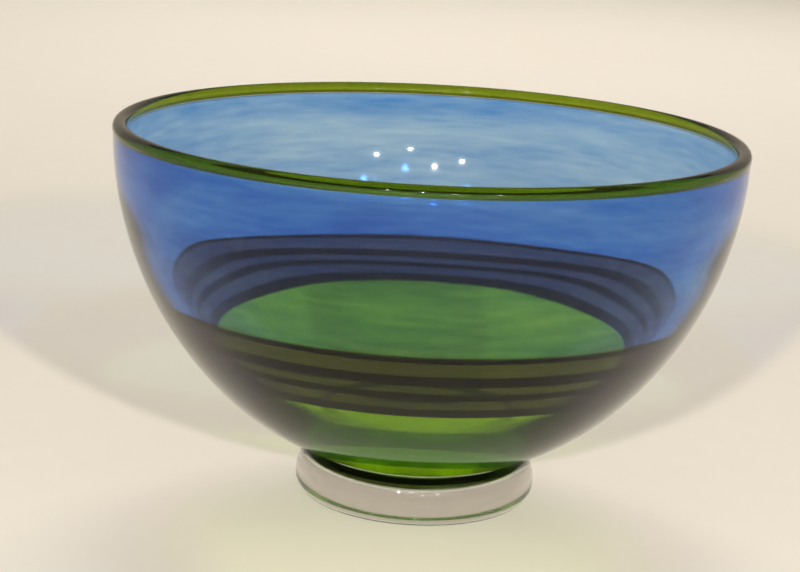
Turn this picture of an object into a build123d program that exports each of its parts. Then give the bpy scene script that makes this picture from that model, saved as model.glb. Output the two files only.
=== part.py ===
from build123d import *
import math
import os

# Hand-blown art glass bowl, joined hot from separate cups, threads and coils of glass.
# Millimetres. The origin is the centre of the foot's underside, and +Z is up.
# Every piece is a solid of revolution about Z, drawn as a half section on the XZ plane.

# ---- Driving dimensions ----
bowl_height = 192.2
mouth_radius = 160.0
rim_wall = 7.0             # wall thickness just under the lip wrap
lip_cane_radius = 3.85     # the cane wrapped round the mouth
lip_seam_drop = 1.6        # the seam lies this far below the cane's centre

outside_floor_z = 15.6     # the outer gather's lowest point, inside the foot
outside_floor_radius = 149.0
outside_blend_angle = 45.0  # from straight down to where the side arc takes over
inside_floor_z = 29.5
inside_floor_radius = 134.0
inside_blend_angle = 21.0

colour_thickness = 2.0     # the coloured cups line the inside of the clear gather
band_top_z = 110.8
band_bottom_z = 78.7
thread_height = 1.1        # how far a trailed thread stands out of the band

foot_radius = 61.8
foot_edge_width = 9.6      # how far the rounded edge reaches in from the foot's widest point
foot_belly_z = 10.4        # height of the widest point
foot_shoulder_rise = 15.4  # from the widest point up to the top of the shoulder's ellipse
foot_shoulder_turn = 78.0  # the shoulder stops here, short of that top, at the crease

# Each dark thread lies between two heights on the inside of the wall.
thread_spans = [(108.6, 110.8), (95.8, 101.0), (88.4, 91.8), (78.7, 83.2)]

# ---- The two curves that every wall piece follows ----
lip_centre_r = mouth_radius - lip_cane_radius
lip_centre_z = bowl_height - lip_cane_radius
seam_z = lip_centre_z - lip_seam_drop


class WallCurve:
    """A floor arc centred on the axis, then a side arc tangent to it that ends at the rim."""

    def __init__(self, floor_z, floor_radius, blend_angle, rim_r, rim_z):
        blend = math.radians(blend_angle)
        direction = (math.sin(blend), -math.cos(blend))
        across = rim_r - floor_radius * direction[0]
        rise = rim_z - (floor_z + floor_radius) - floor_radius * direction[1]
        slope_part = across * direction[0] + rise * direction[1]
        self.blend_angle = blend_angle
        self.floor_radius = floor_radius
        self.floor_centre = (0.0, floor_z + floor_radius)
        self.side_radius = -(across**2 + rise**2) / (2 * slope_part)
        offset = floor_radius - self.side_radius
        self.side_centre = (offset * direction[0], self.floor_centre[1] + offset * direction[1])
        self.rim_angle = self.angle_at(rim_z)

    def arc(self, angle):
        """Centre and radius of the arc that holds this angle."""
        if angle <= self.blend_angle:
            return self.floor_centre, self.floor_radius
        return self.side_centre, self.side_radius

    def point(self, angle, depth=0.0):
        """Point at an angle from straight down, a depth outwards from the curve."""
        (centre_r, centre_z), radius = self.arc(angle)
        turn = math.radians(angle)
        return (centre_r + (radius + depth) * math.sin(turn), centre_z - (radius + depth) * math.cos(turn))

    def angle_at(self, z, depth=0.0):
        """Angle at which the side arc, moved outwards by a depth, reaches a height."""
        return math.degrees(math.acos((self.side_centre[1] - z) / (self.side_radius + depth)))

    def draw(self, start_angle, end_angle, depth=0.0):
        """Add the curve from one angle to a larger one to the line being built."""
        blend = self.blend_angle
        if start_angle < blend:
            reach = min(end_angle, blend) - start_angle
            CenterArc(self.floor_centre, self.floor_radius + depth, start_angle - 90, reach)
        if end_angle > blend:
            first = max(start_angle, blend)
            CenterArc(self.side_centre, self.side_radius + depth, first - 90, end_angle - first)


inside = WallCurve(
    inside_floor_z, inside_floor_radius, inside_blend_angle, lip_centre_r - rim_wall / 2, seam_z
)
outside = WallCurve(
    outside_floor_z, outside_floor_radius, outside_blend_angle, lip_centre_r + rim_wall / 2, seam_z
)


def save(piece, name):
    piece.part.label = name
    export_step(piece.part, f"parts/{name}.step")


def draw_colour_ring(start_angle, end_angle):
    """Half section of a coloured ring between two angles of the inside curve."""
    inside.draw(start_angle, end_angle)
    Line(inside.point(end_angle), inside.point(end_angle, colour_thickness))
    inside.draw(start_angle, end_angle, colour_thickness)
    Line(inside.point(start_angle), inside.point(start_angle, colour_thickness))


def draw_thread(low_z, high_z):
    """Half section of a trailed thread: flat on the band, rounded towards the clear gather."""
    low_angle = inside.angle_at(low_z)
    high_angle = inside.angle_at(high_z)
    crown = inside.point((low_angle + high_angle) / 2, colour_thickness + thread_height)
    inside.draw(low_angle, high_angle, colour_thickness)
    ThreePointArc(
        inside.point(high_angle, colour_thickness), crown, inside.point(low_angle, colour_thickness)
    )


os.makedirs("parts", exist_ok=True)

band_top_angle = inside.angle_at(band_top_z)
band_bottom_angle = inside.angle_at(band_bottom_z)

# ---- Blue cup: the upper colour, from the band to the rim ----
seam_angle_outer = inside.angle_at(seam_z, colour_thickness)
with BuildPart() as blue_cup:
    with BuildSketch(Plane.XZ):
        with BuildLine():
            inside.draw(band_top_angle, inside.rim_angle)
            Line(inside.point(inside.rim_angle), inside.point(seam_angle_outer, colour_thickness))
            inside.draw(band_top_angle, seam_angle_outer, colour_thickness)
            Line(inside.point(band_top_angle), inside.point(band_top_angle, colour_thickness))
        make_face()
    revolve(axis=Axis.Z)
save(blue_cup, "blue_cup")

# ---- Smoke band: the grey-amethyst ring between the two cups ----
with BuildPart() as smoke_band:
    with BuildSketch(Plane.XZ):
        with BuildLine():
            draw_colour_ring(band_bottom_angle, band_top_angle)
        make_face()
    revolve(axis=Axis.Z)
save(smoke_band, "smoke_band")

# ---- Green cup: the bottom colour, closed across the axis ----
with BuildPart() as green_cup:
    with BuildSketch(Plane.XZ):
        with BuildLine():
            draw_colour_ring(0, band_bottom_angle)
        make_face()
    revolve(axis=Axis.Z)
save(green_cup, "green_cup")

# ---- Dark threads: trailed round the outside of the band before the clear gather ----
for number, (low_z, high_z) in enumerate(thread_spans, start=1):
    with BuildPart() as dark_thread:
        with BuildSketch(Plane.XZ):
            with BuildLine():
                draw_thread(low_z, high_z)
            make_face()
        revolve(axis=Axis.Z)
    save(dark_thread, f"dark_thread_{number}")

# ---- Clear casing: the thick outer gather, with a groove where each thread is buried ----
with BuildPart() as clear_casing:
    with BuildSketch(Plane.XZ):
        with BuildLine():
            outside.draw(0, outside.rim_angle)
            Line(outside.point(outside.rim_angle), inside.point(seam_angle_outer, colour_thickness))
            inside.draw(0, seam_angle_outer, colour_thickness)
            Line(outside.point(0), inside.point(0, colour_thickness))
        make_face()
    revolve(axis=Axis.Z)
    with BuildSketch(Plane.XZ):
        for low_z, high_z in thread_spans:
            with BuildLine():
                draw_thread(low_z, high_z)
            make_face()
    revolve(axis=Axis.Z, mode=Mode.SUBTRACT)
save(clear_casing, "clear_casing")

# ---- Lip wrap: a cane round the mouth, flattened where it is fused to the wall's end ----
lip_cutter = 3 * lip_cane_radius  # a square wider and deeper than what it cuts away
with BuildPart() as lip_wrap:
    with BuildSketch(Plane.XZ):
        with Locations((lip_centre_r, lip_centre_z)):
            Circle(lip_cane_radius)
        with Locations((lip_centre_r, seam_z)):
            Rectangle(lip_cutter, lip_cutter, align=(Align.CENTER, Align.MAX), mode=Mode.SUBTRACT)
    revolve(axis=Axis.Z)
save(lip_wrap, "lip_wrap")

# ---- Foot: a clear pad with a fat rounded edge, fused under the bowl and polished flat ----
foot_edge_centre = (foot_radius - foot_edge_width, foot_belly_z)
crease_r = foot_edge_centre[0] + foot_edge_width * math.cos(math.radians(foot_shoulder_turn))
crease_angle = math.degrees(math.asin(crease_r / outside_floor_radius))
with BuildPart() as clear_foot:
    with BuildSketch(Plane.XZ):
        with BuildLine():
            outside.draw(0, crease_angle)
            shoulder = EllipticalCenterArc(
                foot_edge_centre, foot_edge_width, foot_shoulder_rise, arc_size=foot_shoulder_turn
            )
            Line(shoulder @ 1, outside.point(crease_angle))
            EllipticalCenterArc(foot_edge_centre, foot_edge_width, foot_belly_z, -90, arc_size=90)
            Line((foot_edge_centre[0], 0), (0, 0))
            Line((0, 0), outside.point(0))
        make_face()
    revolve(axis=Axis.Z)
save(clear_foot, "clear_foot")
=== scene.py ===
# %% [markdown]
# # A blown glass bowl, taken apart by colour
#
# The real bowl is made hot, in one go. A blower lines a bubble with coloured cups, trails dark threads
# round it, dips it in clear glass, wraps a lime cane round the mouth and sets it on a clear foot.
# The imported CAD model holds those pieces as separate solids. This lesson rebuilds their looks: one clear
# skin that bends the light, and inside it thin closed shells that only take colour out of the light.

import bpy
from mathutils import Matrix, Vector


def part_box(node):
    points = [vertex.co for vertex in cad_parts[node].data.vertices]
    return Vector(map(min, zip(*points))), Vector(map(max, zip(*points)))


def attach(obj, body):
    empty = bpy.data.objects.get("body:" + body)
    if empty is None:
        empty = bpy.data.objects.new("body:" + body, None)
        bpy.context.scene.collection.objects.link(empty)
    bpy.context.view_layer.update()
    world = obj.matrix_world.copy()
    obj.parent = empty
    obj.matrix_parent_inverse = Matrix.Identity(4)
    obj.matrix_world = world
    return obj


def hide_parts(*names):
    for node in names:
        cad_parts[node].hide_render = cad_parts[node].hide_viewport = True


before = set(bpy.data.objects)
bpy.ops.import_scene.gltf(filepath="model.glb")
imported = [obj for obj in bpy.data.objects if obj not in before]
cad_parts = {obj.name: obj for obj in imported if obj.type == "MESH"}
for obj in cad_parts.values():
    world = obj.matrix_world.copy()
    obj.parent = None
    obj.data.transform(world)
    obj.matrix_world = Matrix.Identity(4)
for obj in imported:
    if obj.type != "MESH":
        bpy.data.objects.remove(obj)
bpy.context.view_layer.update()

# %% Tools
import math

import bmesh
import bpy
import numpy as np
from mathutils import Quaternion, Vector

MM = 0.001
scene = bpy.context.scene
print("nodes to dress:", sorted(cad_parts))

# %% [markdown]
# ## Measuring the frame
#
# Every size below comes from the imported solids' boxes, so the looks always fit the CAD. The lip's box gives
# the mouth, its height and the seam where the lip cane sits on the wall. The green cup's top is where the
# belt starts, and the smoke band's top is where the blue starts. What a box can't tell is written as numbers:
# the curvature of the two walls, the shape of the foot's edge, the lip cane's radius and the lining.

# %% Heights and radii
lip_low, lip_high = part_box("lip_wrap")
foot_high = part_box("clear_foot")[1]
casing_low, casing_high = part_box("clear_casing")
green_low, green_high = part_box("green_cup")
belt_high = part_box("smoke_band")[1]

LIP_CANE_RADIUS = 3.85 * MM
LIP_CENTRE = np.array([lip_high.x - LIP_CANE_RADIUS, lip_high.z - LIP_CANE_RADIUS])
SEAM_Z = lip_low.z
RIM_OUTSIDE_R = casing_high.x
RIM_INSIDE_R = 2 * LIP_CENTRE[0] - RIM_OUTSIDE_R
LINING = 2.0 * MM
FOOT_RADIUS = foot_high.x
FOOT_EDGE = 9.6 * MM
FOOT_BELLY_Z = 10.4 * MM
FOOT_SHOULDER_RISE = 15.4 * MM
FOOT_SHOULDER_TURN = 78.0
print("mouth radius", round(lip_high.x, 4), "seam at", round(SEAM_Z, 4), "foot radius", round(FOOT_RADIUS, 4))

# %% [markdown]
# ## The two wall curves
#
# Spinning and gravity give a blown bowl a profile that is nearly two arcs: a shallow one across the floor and
# a tighter one up the side, meeting without a corner. A spline through guessed points could do it, but two
# tangent arcs need only a few numbers and are what the CAD has, so the skin and the solids agree. The inside
# then gets one small waist that the CAD lacks. It is a correction for the eye: seen through the near wall, it
# brings the far side of the belt to its right height and shape.


# %% A wall curve made of two arcs
class WallCurve:
    """A floor arc centred on the axis, then a side arc tangent to it. The side arc's radius is the one
    whose circle passes through the rim: minus the squared distance to the rim over twice its part along
    the blend."""

    def __init__(self, floor_z, floor_radius, blend_angle, rim_r, rim_z):
        blend = math.radians(blend_angle)
        direction = np.array([math.sin(blend), -math.cos(blend)])
        self.floor_centre = np.array([0.0, floor_z + floor_radius])
        to_rim = np.array([rim_r, rim_z]) - self.floor_centre - floor_radius * direction
        self.side_radius = -(to_rim @ to_rim) / (2 * (to_rim @ direction))
        self.side_centre = self.floor_centre + (floor_radius - self.side_radius) * direction
        self.floor_radius = floor_radius
        self.blend_angle = blend_angle
        self.rim_angle = self.angle_at(rim_z)

    def angle_at(self, z, depth=0.0):
        """The angle from straight down whose cosine is the drop below the side arc's centre over its
        radius."""
        return math.degrees(math.acos((self.side_centre[1] - z) / (self.side_radius + depth)))

    def points(self, angles, depth=0.0):
        """Radius and height of each angle: centre plus (radius + depth) times (sine, minus cosine)."""
        angles = np.atleast_1d(angles)
        on_floor = (angles <= self.blend_angle)[:, None]
        centre = np.where(on_floor, self.floor_centre, self.side_centre)
        radius = np.where(on_floor, self.floor_radius, self.side_radius) + np.reshape(depth, (-1, 1))
        turn = np.radians(angles)[:, None]
        return centre + radius * np.hstack([np.sin(turn), -np.cos(turn)])


WAIST_Z = 158 * MM
WAIST_WIDTH = 15 * MM
WAIST_DEPTH = 0.5 * MM


def blown_waist(points):
    """Thins the wall a little at the waist: each point moves outwards by the waist depth times a bell curve
    of its height, e to the minus square of the distance from the waist over its width."""
    bell = np.exp(-(((points[:, 1] - WAIST_Z) / WAIST_WIDTH) ** 2))
    return points + np.stack([WAIST_DEPTH * bell, 0 * bell], axis=1)


inside = WallCurve(green_low.z + LINING, 134 * MM, 21.0, RIM_INSIDE_R, SEAM_Z)
outside = WallCurve(casing_low.z, 149 * MM, 45.0, RIM_OUTSIDE_R, SEAM_Z)
BELT_BOTTOM = inside.angle_at(green_high.z)
BELT_TOP = inside.angle_at(belt_high.z)
print("side radii", round(inside.side_radius, 4), round(outside.side_radius, 4))
print("belt from", round(BELT_BOTTOM, 2), "to", round(BELT_TOP, 2), "degrees up the inside wall")

# %% [markdown]
# ## Turning a profile into a surface
#
# A pot, a glass or a bowl is a profile spun round an axis. Blender's Screw modifier can do that, but then the
# surface is perfect. Working the grid out with numpy lets the wall breathe: a small radial wave, different
# at each height and turn, is what makes hand work read as hand work, because glass shows every slope in it.


# %% A gentle hand-made wave
WAVE_START_R = 66 * MM
WAVE_FULL_REACH = 60 * MM
STEEPEST_CLIMB = 34


def hand_wave(r, z, turn, strength, seed):
    """How far the wall leans inwards: a sum of five slow waves round and up the bowl with seeded phases,
    scaled to lie between 0 and minus strength, and faded out towards the axis."""
    draw = np.random.default_rng(seed)
    lobes = np.array([2, 3, 5, 7, 11])
    share = np.array([1.0, 0.7, 0.45, 0.28, 0.16])
    phase = draw.uniform(0, 2 * np.pi, 5)
    climb = draw.uniform(-STEEPEST_CLIMB, STEEPEST_CLIMB, 5)
    waves = sum(s * np.sin(n * turn + p + c * z) for n, s, p, c in zip(lobes, share, phase, climb))
    fade = np.clip((r - WAVE_START_R) / WAVE_FULL_REACH, 0, 1)
    return -strength * (0.5 + 0.5 * waves / share.sum()) * fade**2 * (3 - 2 * fade)


print("wave at the front of the rim, mm:", round(float(hand_wave(0.16, 0.18, 0.0, 0.3, 7)) / MM, 3))


# %% Spin a profile
def spin(name, profile, closed, segments=256, waves=((0.22 * MM, 7),), wander=None):
    """Point (i, j) of the grid is profile point i turned to angle j: (r cos a, r sin a, z), with the hand
    waves added to r. A closed profile joins its last point to its first. wander(a) adds a small rise at
    each angle."""
    profile = np.asarray(profile, float)
    turn = np.linspace(0, 2 * np.pi, segments, endpoint=False)[None, :]
    r = profile[:, 0][:, None] + 0 * turn
    z = profile[:, 1][:, None] + 0 * turn
    if wander is not None:
        z = z + wander(turn)
    for strength, seed in waves:
        r = r + hand_wave(profile[:, 0][:, None], z, turn, strength, seed)
    grid = np.stack([r * np.cos(turn), r * np.sin(turn), z], axis=-1).reshape(-1, 3)
    rows = len(profile)
    i = np.arange(rows if closed else rows - 1)[:, None]
    j = np.arange(segments)[None, :]
    i_next = (i + 1) % rows
    j_next = (j + 1) % segments
    corners = [i * segments + j, i * segments + j_next, i_next * segments + j_next, i_next * segments + j]
    faces = np.stack(corners, axis=-1).reshape(-1, 4)
    mesh = bpy.data.meshes.new(name)
    mesh.from_pydata(grid.tolist(), [], faces.tolist())
    shape = bmesh.new()
    shape.from_mesh(mesh)
    bmesh.ops.remove_doubles(shape, verts=shape.verts, dist=1e-6)
    bmesh.ops.recalc_face_normals(shape, faces=shape.faces)
    shape.to_mesh(mesh)
    shape.free()
    mesh.polygons.foreach_set("use_smooth", np.ones(len(mesh.polygons), dtype=bool))
    piece = bpy.data.objects.new(name, mesh)
    scene.collection.objects.link(piece)
    print(name, "has", len(mesh.vertices), "points and", len(mesh.polygons), "faces")
    return piece


# %% [markdown]
# ## The clear skin
#
# On the real bowl the clear gather, the foot and the glass over the lip melt into one another, and no surface
# is left between them. Light only bends where glass meets air. So the skin is one closed profile: under the
# foot, round its fat edge, up its shoulder to the crease under the bowl, up the outside wall, over the lip
# and down the inside wall to the axis. Two separate solids here would show a false mirror at their joint.

# %% Foot profile
foot_centre_r = FOOT_RADIUS - FOOT_EDGE
crease_r = foot_centre_r + FOOT_EDGE * math.cos(math.radians(FOOT_SHOULDER_TURN))
crease_angle = math.degrees(math.asin(crease_r / outside.floor_radius))
under = np.stack([np.linspace(0, foot_centre_r, 24), np.zeros(24)], axis=1)
edge_turn = np.radians(np.linspace(-90, 0, 26))
edge = np.stack(
    [foot_centre_r + FOOT_EDGE * np.cos(edge_turn), FOOT_BELLY_Z + FOOT_BELLY_Z * np.sin(edge_turn)], axis=1
)
shoulder_turn = np.radians(np.linspace(0, FOOT_SHOULDER_TURN, 30))
shoulder = np.stack(
    [
        foot_centre_r + FOOT_EDGE * np.cos(shoulder_turn),
        FOOT_BELLY_Z + FOOT_SHOULDER_RISE * np.sin(shoulder_turn),
    ],
    axis=1,
)
print("crease at radius", round(crease_r, 4), "and", round(crease_angle, 2), "degrees round the outside")

# %% Lip profile
seam_turn = math.degrees(math.asin((LIP_CENTRE[1] - SEAM_Z) / LIP_CANE_RADIUS))
lip_turn = np.radians(np.linspace(-seam_turn, 180 + seam_turn, 46))
lip = LIP_CENTRE + LIP_CANE_RADIUS * np.stack([np.cos(lip_turn), np.sin(lip_turn)], axis=1)
print("the lip cane turns through", round(180 + 2 * seam_turn, 1), "degrees in section")


# %% Soften the seam
def soften(profile, centre_z, reach, passes=6):
    """Rounds a crease: near centre_z each point moves towards the middle of its two neighbours, a few times
    over, by a share that fades to nothing at reach."""
    profile = profile.copy()
    for _ in range(passes):
        middle = (profile[:-2] + profile[2:]) / 2
        share = np.clip(1 - np.abs(profile[1:-1, 1] - centre_z) / reach, 0, 1)[:, None]
        profile[1:-1] += 0.5 * share * (middle - profile[1:-1])
    return profile


wall_up = outside.points(np.linspace(crease_angle, outside.rim_angle, 96))
wall_down = blown_waist(inside.points(np.linspace(inside.rim_angle, 0, 130)))
skin_profile = np.concatenate([under, edge[1:], shoulder[1:], wall_up, lip[1:-1], wall_down])
skin_profile = soften(skin_profile, SEAM_Z, 2.0 * MM)
skin_profile[-1, 0] = 0.0
clear_skin = spin("clear_skin", skin_profile, closed=False, waves=((0.22 * MM, 7),))

# %% [markdown]
# ## The colour linings
#
# The coloured cups are taken as two millimetres thick, lying just under the inside surface. Each becomes a
# closed shell, a third of a millimetre away from that surface, so that no two faces lie on top of each other.
# The shells don't bend light. They take most of their colour out of it at their two faces and a smaller part
# with depth, so a slanting ray comes out a little deeper. Real cased glass does that more strongly.

# %% Lining shells
LINING_START = 0.3 * MM
LINING_END = 1.9 * MM
END_GAP = 0.03


def lining_profile(start, end, count):
    """Half section between two angles of the inside curve: up along the far side, back along the near
    side."""
    angles = np.linspace(start, end, count)
    far_side = inside.points(angles, LINING_END)
    near_side = inside.points(angles[::-1], LINING_START)
    return blown_waist(np.concatenate([far_side, near_side]))


lip_bottom = inside.angle_at(SEAM_Z - 0.2 * MM)
blue_lining = spin("blue_lining", lining_profile(BELT_TOP + END_GAP, lip_bottom, 60), closed=True)
smoke_belt = spin("smoke_belt", lining_profile(BELT_BOTTOM + END_GAP, BELT_TOP - END_GAP, 30), closed=True)
green_section = lining_profile(0, BELT_BOTTOM - END_GAP, 60)
green_section[[0, -1], 0] = 0.0
green_lining = spin("green_lining", green_section, closed=False)


# %% [markdown]
# ## The dark threads
#
# A thread is dribbled from a gather while the bubble turns, so its height and width are never quite even. In
# section it is a lens: it spreads where it lands, and its thin edges let some light by, which makes the soft
# borders of the stripes. A torus would be too thick at its edges, so the lens is drawn with a half sine.

# %% Threads
THREAD_START = 1.95 * MM
THREAD_CROWN = 1.05 * MM
THREAD_WANDER = 0.22 * MM


def thread(name, node, seed):
    """Lens section between the two angles that the CAD thread's box gives. Its depth is the start plus the
    crown times the square root of a half sine across the width. It wanders up and down by slow seeded
    waves."""
    low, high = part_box(node)
    first = inside.angle_at(low.z, LINING)
    last = inside.angle_at(high.z, LINING)
    across = np.linspace(0, 1, 18)
    bulge = THREAD_CROWN * np.sqrt(np.sin(np.pi * across).clip(0, 1))
    outer = inside.points(first + (last - first) * across, THREAD_START + bulge)
    back = inside.points(first + (last - first) * across[-2:0:-1], THREAD_START)
    phase = np.random.default_rng(seed).uniform(0, 2 * np.pi, 3)

    def drift(turn):
        slow = np.sin(turn + phase[0])
        middling = 0.5 * np.sin(3 * turn + phase[1])
        quick = 0.25 * np.sin(7 * turn + phase[2])
        return THREAD_WANDER * (slow + middling + quick)

    return spin(name, blown_waist(np.concatenate([outer, back])), closed=True, wander=drift)


threads = [thread(f"thread_{k}", f"dark_thread_{k}", 20 + k) for k in (1, 2, 3, 4)]

# %% [markdown]
# ## The lime lip
#
# A cane of lime glass is wound once round the mouth and marvered in. Under the skin it is a round bar with a
# flat where it meets the wall. The skin over it is a quarter of a millimetre of clear, which gives the lip
# its bright line at the top.

# %% Lip colour
LIP_SKIN = 0.25 * MM
core_radius = LIP_CANE_RADIUS - LIP_SKIN
flat_z = SEAM_Z + 0.1 * MM
flat_turn = math.degrees(math.asin((LIP_CENTRE[1] - flat_z) / core_radius))
core_turn = np.radians(np.linspace(-flat_turn, 180 + flat_turn, 44))
core = LIP_CENTRE + core_radius * np.stack([np.cos(core_turn), np.sin(core_turn)], axis=1)
flat = np.stack([np.linspace(core[-1, 0], core[0, 0], 9)[1:-1], np.full(7, flat_z)], axis=1)
lime_lip = spin("lime_lip", np.concatenate([core, flat]), closed=True)

# %% [markdown]
# ## Finishes
#
# Two effects are shared, so each is a node group. The first is the faint ripple that tools and reheating
# leave in blown glass, stretched round the bowl. The second is the drift of colour in a cased layer, thin
# wisps where the powder lay thicker; on the blue it is pushed much further and is partly painted light and
# shade. Neither is a picture: both are noise read at the piece's own points.


# %% Group building helper
def new_group(name, inputs, outputs):
    """A shader node group with named float, vector or colour sockets, each given as (name, kind, default)."""
    group = bpy.data.node_groups.new(name, "ShaderNodeTree")
    for label, kind, default in inputs:
        socket = group.interface.new_socket(label, in_out="INPUT", socket_type=f"NodeSocket{kind}")
        if default is not None:
            socket.default_value = default
    for label, kind in outputs:
        group.interface.new_socket(label, in_out="OUTPUT", socket_type=f"NodeSocket{kind}")
    start = group.nodes.new("NodeGroupInput")
    end = group.nodes.new("NodeGroupOutput")
    return group, start, end


def stretched_noise(group, vector, scale, stretch, detail):
    """Noise whose grain is drawn out sideways: heights count stretch times as much as widths."""
    squeeze = group.nodes.new("ShaderNodeVectorMath")
    squeeze.operation = "MULTIPLY"
    combine = group.nodes.new("ShaderNodeCombineXYZ")
    combine.inputs["X"].default_value = 1.0
    combine.inputs["Y"].default_value = 1.0
    group.links.new(stretch, combine.inputs["Z"])
    group.links.new(vector, squeeze.inputs[0])
    group.links.new(combine.outputs[0], squeeze.inputs[1])
    noise = group.nodes.new("ShaderNodeTexNoise")
    noise.inputs["Detail"].default_value = detail
    group.links.new(squeeze.outputs[0], noise.inputs["Vector"])
    group.links.new(scale, noise.inputs["Scale"])
    return noise.outputs["Fac"]


# %% Tool ripple group
ripple_group, ripple_in, ripple_out = new_group(
    "tool_ripple",
    [("Vector", "Vector", None), ("Broad Scale", "Float", 14.0), ("Fine Scale", "Float", 60.0),
     ("Stretch", "Float", 2.5), ("Fine Share", "Float", 0.2)],
    [("Height", "Float")],
)
broad = stretched_noise(ripple_group, ripple_in.outputs["Vector"], ripple_in.outputs["Broad Scale"],
                        ripple_in.outputs["Stretch"], 1.0)
fine = stretched_noise(ripple_group, ripple_in.outputs["Vector"], ripple_in.outputs["Fine Scale"],
                       ripple_in.outputs["Stretch"], 2.0)
blend = ripple_group.nodes.new("ShaderNodeMix")
blend.data_type = "FLOAT"
ripple_group.links.new(ripple_in.outputs["Fine Share"], blend.inputs["Factor"])
ripple_group.links.new(broad, blend.inputs["A"])
ripple_group.links.new(fine, blend.inputs["B"])
ripple_group.links.new(blend.outputs["Result"], ripple_out.inputs["Height"])
print("ripple group inputs:", [s.name for s in ripple_in.outputs if s.name])

# %% Colour drift group
drift_group, drift_in, drift_out = new_group(
    "colour_drift",
    [("Vector", "Vector", None), ("Thin Colour", "Color", (1, 1, 1, 1)),
     ("Full Colour", "Color", (0.8, 0.8, 0.8, 1)), ("Scale", "Float", 9.0),
     ("Stretch", "Float", 4.0), ("Wisp Scale", "Float", 45.0), ("Wisp Share", "Float", 0.3)],
    [("Color", "Color"), ("Mask", "Float")],
)
cloud = stretched_noise(drift_group, drift_in.outputs["Vector"], drift_in.outputs["Scale"],
                        drift_in.outputs["Stretch"], 2.0)
wisp = stretched_noise(drift_group, drift_in.outputs["Vector"], drift_in.outputs["Wisp Scale"],
                       drift_in.outputs["Stretch"], 3.0)
mask = drift_group.nodes.new("ShaderNodeMix")
mask.data_type = "FLOAT"
drift_group.links.new(drift_in.outputs["Wisp Share"], mask.inputs["Factor"])
drift_group.links.new(cloud, mask.inputs["A"])
drift_group.links.new(wisp, mask.inputs["B"])
spread = drift_group.nodes.new("ShaderNodeMapRange")
spread.inputs["From Min"].default_value = 0.3
spread.inputs["From Max"].default_value = 0.7
drift_group.links.new(mask.outputs["Result"], spread.inputs["Value"])
tint = drift_group.nodes.new("ShaderNodeMix")
tint.data_type = "RGBA"
drift_group.links.new(spread.outputs["Result"], tint.inputs["Factor"])
drift_group.links.new(drift_in.outputs["Thin Colour"], tint.inputs["A"])
drift_group.links.new(drift_in.outputs["Full Colour"], tint.inputs["B"])
drift_group.links.new(tint.outputs["Result"], drift_out.inputs["Color"])
drift_group.links.new(spread.outputs["Result"], drift_out.inputs["Mask"])
print("drift group inputs:", [s.name for s in drift_in.outputs if s.name])


# %% A glass material
def glass(name, ior, thin, full, shade, roughness=0.0, ripple=0.0, absorb=None, scale=9.0, stretch=4.0):
    """Transmitting glass. Its own colour drifts between thin and full, its normal follows the tool ripple by
    a height in metres, shade is the share of a lamp's light that one face lets through, and absorb is the
    pair of colour and density that the depth of the glass takes out."""
    material = bpy.data.materials.new(name)
    material.use_nodes = True
    nodes = material.node_tree.nodes
    links = material.node_tree.links
    shader = nodes["Principled BSDF"]
    shader.inputs["Transmission Weight"].default_value = 1.0
    shader.inputs["Roughness"].default_value = roughness
    shader.inputs["IOR"].default_value = ior
    coordinates = nodes.new("ShaderNodeTexCoord")
    colour = nodes.new("ShaderNodeGroup")
    colour.node_tree = drift_group
    colour.inputs["Thin Colour"].default_value = (*thin, 1)
    colour.inputs["Full Colour"].default_value = (*full, 1)
    colour.inputs["Scale"].default_value = scale
    colour.inputs["Stretch"].default_value = stretch
    links.new(coordinates.outputs["Object"], colour.inputs["Vector"])
    links.new(colour.outputs["Color"], shader.inputs["Base Color"])
    if ripple > 0:
        waves = nodes.new("ShaderNodeGroup")
        waves.node_tree = ripple_group
        bump = nodes.new("ShaderNodeBump")
        bump.inputs["Distance"].default_value = ripple
        links.new(coordinates.outputs["Object"], waves.inputs["Vector"])
        links.new(waves.outputs["Height"], bump.inputs["Height"])
        links.new(bump.outputs["Normal"], shader.inputs["Normal"])
    if absorb is not None:
        volume = nodes.new("ShaderNodeVolumeAbsorption")
        volume.inputs["Color"].default_value = (*absorb[0], 1)
        volume.inputs["Density"].default_value = absorb[1]
        links.new(volume.outputs["Volume"], nodes["Material Output"].inputs["Volume"])
    mix = nodes.new("ShaderNodeMixShader")
    clear_for_lamps = nodes.new("ShaderNodeBsdfTransparent")
    clear_for_lamps.inputs["Color"].default_value = (*shade, 1)
    path = nodes.new("ShaderNodeLightPath")
    links.new(path.outputs["Is Shadow Ray"], mix.inputs["Fac"])
    links.new(shader.outputs["BSDF"], mix.inputs[1])
    links.new(clear_for_lamps.outputs["BSDF"], mix.inputs[2])
    links.new(mix.outputs["Shader"], nodes["Material Output"].inputs["Surface"])
    print(name, "index", ior, "thin", [round(x, 3) for x in thin], "full", [round(x, 3) for x in full])
    return material


# %% [markdown]
# ## Choosing the glass colours
#
# Each colour is set by the share of light that one wall lets through: blue passes about a fifth of the red
# and five sixths of the blue, smoke between a tenth and a fifth of everything, green half the red, two thirds
# of the green and almost no blue. The shares were chosen. Most of a share goes into the colour of the
# layer's faces, which drifts as real powder does, and the rest into absorption with depth, which darkens the
# slanting edges a little. Lamps cross the bowl here without being bent or focused, so the shade is kept
# lighter than the glass, most of all under the green, where a real bowl would gather light into its own
# shadow. That stands in for real focusing and doesn't work it out. The clear skin is a hair short of smooth,
# so that small lamps show in it, and its tint weakens reflections seen face on. The blue drifts much more
# than powder would make it. On a plain stage an even wall looks flat, so the blue's extra drift is painted
# light and shade, standing in for the shadows and uneven surroundings seen through the wall.


# %% From one wall's share to a coloured glass
DEPTH_PART = 0.22


def absorption(share, thickness):
    """Colour and density for a layer: minus the logarithm of the share over the thickness, written as a
    density a little above the strongest channel and a colour that is one less the channel over it."""
    taken = -np.log(np.array(share)) / thickness
    density = float(taken.max()) * 1.05
    return tuple(float(x) for x in 1 - taken / density), density


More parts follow.
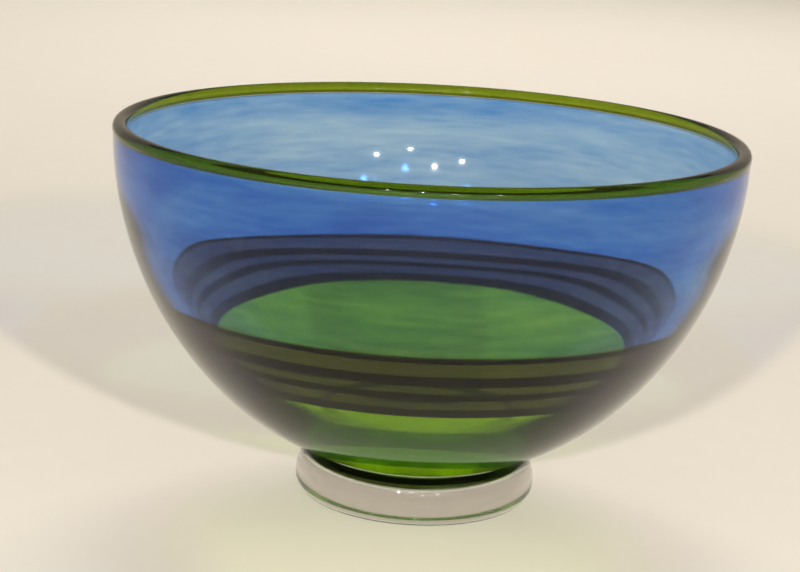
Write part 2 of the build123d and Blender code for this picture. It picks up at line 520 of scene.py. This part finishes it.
def coloured(name, share, thickness, drift, shade_part, scale=9.0, stretch=4.0):
    """A lining's glass: its faces take the share to the power of what depth leaves over, a little more and a
    little less by drift, and its depth takes the share to the power of the depth part. Lamps lose the share
    to the power of the shade part at its faces."""
    share = np.array(share)
    thin = share ** ((1 - DEPTH_PART) * (1 - drift))
    full = share ** ((1 - DEPTH_PART) * (1 + drift))
    shade = share ** (shade_part / 2)
    depth = absorption(share**DEPTH_PART, thickness)
    colours = thin.tolist(), full.tolist(), shade.tolist()
    return glass(name, 1.0, *colours, absorb=depth, scale=scale, stretch=stretch)


SLANT = 1.15
WALL_PATH = (LINING_END - LINING_START) * SLANT
THREAD_PATH = THREAD_CROWN * 0.9
LIP_PATH = 2 * core_radius * 0.55
clear_material = glass("clear_glass", 1.5, (0.995, 0.997, 0.99), (0.985, 0.99, 0.975), (0.99, 0.99, 0.985),
                       roughness=0.04, ripple=0.03 * MM)
clear_shader = clear_material.node_tree.nodes["Principled BSDF"]
clear_shader.inputs["Specular Tint"].default_value = (0.6, 0.6, 0.6, 1)
# Painted light and shade: the blue's large drift stands in for shadows and surroundings seen through it.
blue_material = coloured("blue_glass", (0.18, 0.43, 0.83), WALL_PATH, 0.60, 0.60, scale=4.5, stretch=7.0)
smoke_material = coloured("smoke_glass", (0.14, 0.12, 0.19), WALL_PATH, 0.16, 0.45, scale=6.0, stretch=12.0)
green_material = coloured("green_glass", (0.47, 0.68, 0.06), WALL_PATH, 0.20, 0.05, scale=8.0, stretch=3.0)
dark_material = coloured("dark_glass", (0.02, 0.02, 0.07), THREAD_PATH, 0.20, 0.3, scale=14.0, stretch=6.0)
lime_material = coloured("lime_glass", (0.30, 0.40, 0.025), LIP_PATH, 0.12, 0.4)

# %% Dress the pieces and tie them to the frame
dressing = [
    (clear_skin, clear_material, "clear_glass", ["clear_casing", "clear_foot"]),
    (blue_lining, blue_material, "blue_glass", ["blue_cup"]),
    (smoke_belt, smoke_material, "smoke_glass", ["smoke_band"]),
    (green_lining, green_material, "green_glass", ["green_cup"]),
    (lime_lip, lime_material, "lime_glass", ["lip_wrap"]),
]
dressing += [(threads[k], dark_material, "dark_glass", [f"dark_thread_{k + 1}"]) for k in range(4)]
for piece, material, slot, nodes in dressing:
    piece.data.materials.append(material)
    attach(piece, "root")
    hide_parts(*nodes)
print("pieces:", len(dressing))

# %% [markdown]
# ## The stage
#
# The bowl stands on a plain pale floor that curves up into a wall all round, so that every side has the
# same quiet horizon. It lies a hair below the foot, because two faces in one plane would fight.


# %% Floor and horizon
def stage_profile():
    """Flat to the start of the curve, a quarter circle up, then straight up the wall."""
    flat_r = np.concatenate([[0.0], np.linspace(0.2, 3.5, 12)])
    floor = np.stack([flat_r, np.zeros(13)], axis=1)
    turn = np.radians(np.linspace(0, 90, 17))[1:]
    curve = np.stack([3.5 + np.sin(turn), 1.0 - np.cos(turn)], axis=1)
    wall = np.array([[4.5, 2.6]])
    return np.concatenate([floor, curve, wall]) - np.array([0.0, 0.4 * MM])


backdrop = spin("studio_sweep", stage_profile(), closed=False, segments=128, waves=())
backdrop_material = bpy.data.materials.new("studio_sweep_paint")
backdrop_material.use_nodes = True
paint = backdrop_material.node_tree.nodes["Principled BSDF"]
paint.inputs["Roughness"].default_value = 0.6
paint.inputs["Specular IOR Level"].default_value = 0.15
paint_place = backdrop_material.node_tree.nodes.new("ShaderNodeTexCoord")
paint_colour = backdrop_material.node_tree.nodes.new("ShaderNodeGroup")
paint_colour.node_tree = drift_group
paint_colour.inputs["Thin Colour"].default_value = (0.82, 0.775, 0.70, 1)
paint_colour.inputs["Full Colour"].default_value = (0.79, 0.745, 0.67, 1)
paint_colour.inputs["Scale"].default_value = 1.5
paint_colour.inputs["Stretch"].default_value = 1.0
backdrop_material.node_tree.links.new(paint_place.outputs["Object"], paint_colour.inputs["Vector"])
backdrop_material.node_tree.links.new(paint_colour.outputs["Color"], paint.inputs["Base Color"])
backdrop.data.materials.append(backdrop_material)

# %% [markdown]
# ## Light
#
# Glass shows its surroundings more than its own surface. A pale sky gives the even base. Two small lamps on
# the viewer's side throw the bowl's shadow behind it, and a wide soft one behind lights the floor that is
# seen through the glass. None of those mirrors in it. Four small lamps do, as the crisp points of polished
# glass, and those four light no floor.


# %% Lamps
AIM_HEIGHT = 0.1
SPARK_DISTANCE = 2.3
SPARK_SIZE = 0.045
SPARK_WATTS = 14.0


def panel(name, place, size, watts, colour=(1, 1, 1), mirrored=False, lights_floor=True):
    """A round area lamp at place, aimed at the middle of the bowl."""
    lamp = bpy.data.lights.new(name, "AREA")
    lamp.shape = "DISK"
    lamp.size = size
    lamp.energy = watts
    lamp.color = colour
    holder = bpy.data.objects.new(name, lamp)
    scene.collection.objects.link(holder)
    holder.location = place
    aim = Vector((0, 0, AIM_HEIGHT)) - Vector(place)
    holder.rotation_mode = "QUATERNION"
    holder.rotation_quaternion = aim.to_track_quat("-Z", "Y")
    holder.visible_camera = False
    holder.visible_glossy = mirrored
    holder.visible_transmission = mirrored
    holder.visible_diffuse = lights_floor
    return holder


def around(azimuth, elevation, distance):
    """A place round the bowl: azimuth 0 is the camera's side and positive is to its right, in degrees."""
    a = math.radians(azimuth)
    e = math.radians(elevation)
    reach = distance * math.cos(e)
    return (reach * math.sin(a), -reach * math.cos(a), AIM_HEIGHT + distance * math.sin(e))


panel("key_left", around(-12, 19, 2.6), 0.12, 54, (1.0, 0.95, 0.87))
panel("key_right", around(20, 19, 2.6), 0.12, 54, (1.0, 0.95, 0.87))
panel("back_soft", around(178, 42, 3.2), 1.6, 58, (1.0, 0.96, 0.9))
SPARKS = [("spark_left", -14, 24), ("spark_middle", -2, 27), ("spark_near", 9, 19), ("spark_right", 24, 22)]
for name, azimuth, elevation in SPARKS:
    place = around(azimuth, elevation, SPARK_DISTANCE)
    panel(name, place, SPARK_SIZE, SPARK_WATTS, mirrored=True, lights_floor=False)
world = bpy.data.worlds.new("soft_sky")
world.use_nodes = True
scene.world = world
sky = world.node_tree.nodes["Background"]
sky.inputs["Color"].default_value = (1.0, 0.955, 0.89, 1)
sky.inputs["Strength"].default_value = 0.14

# %% [markdown]
# ## Camera
#
# A long lens from a little over a metre away, looking slightly down into the bowl and leaning a few degrees,
# as when a camera is held by hand. The aim is beside the axis, so the bowl sits right of the middle.

# %% Camera
CAMERA_DISTANCE = 1.1327
CAMERA_ELEVATION = math.radians(13.28)
CAMERA_LEAN = math.radians(2.89)
AIM = Vector((-0.01227, 0.0, 0.10966))
lens = bpy.data.cameras.new("camera")
lens.lens = 99.63
lens.sensor_width = 36.0
lens.clip_end = 100.0
camera = bpy.data.objects.new("camera", lens)
scene.collection.objects.link(camera)
camera.location = (0, -CAMERA_DISTANCE * math.cos(CAMERA_ELEVATION),
                   CAMERA_DISTANCE * math.sin(CAMERA_ELEVATION) + AIM.z)
look = (AIM - camera.location).to_track_quat("-Z", "Y")
camera.rotation_mode = "QUATERNION"
camera.rotation_quaternion = look @ Quaternion((0, 0, 1), CAMERA_LEAN)
scene.camera = camera
print("camera at", [round(x, 3) for x in camera.location])

# %% [markdown]
# ## Enough bounces for glass
#
# A ray that looks through both walls crosses a dozen faces before it reaches the floor. With the usual limit
# it would give up inside the glass and turn black, so the limits are raised. The plain view keeps colours as
# they are, where a filmic one would wash out the blue.

# %% Bounces and view
scene.cycles.max_bounces = 40
scene.cycles.transmission_bounces = 36
scene.cycles.glossy_bounces = 16
scene.cycles.transparent_max_bounces = 48
scene.cycles.diffuse_bounces = 4
scene.cycles.caustics_refractive = False
scene.cycles.caustics_reflective = False
scene.view_settings.view_transform = "Standard"

# %% Update the scene
bpy.context.view_layer.update()
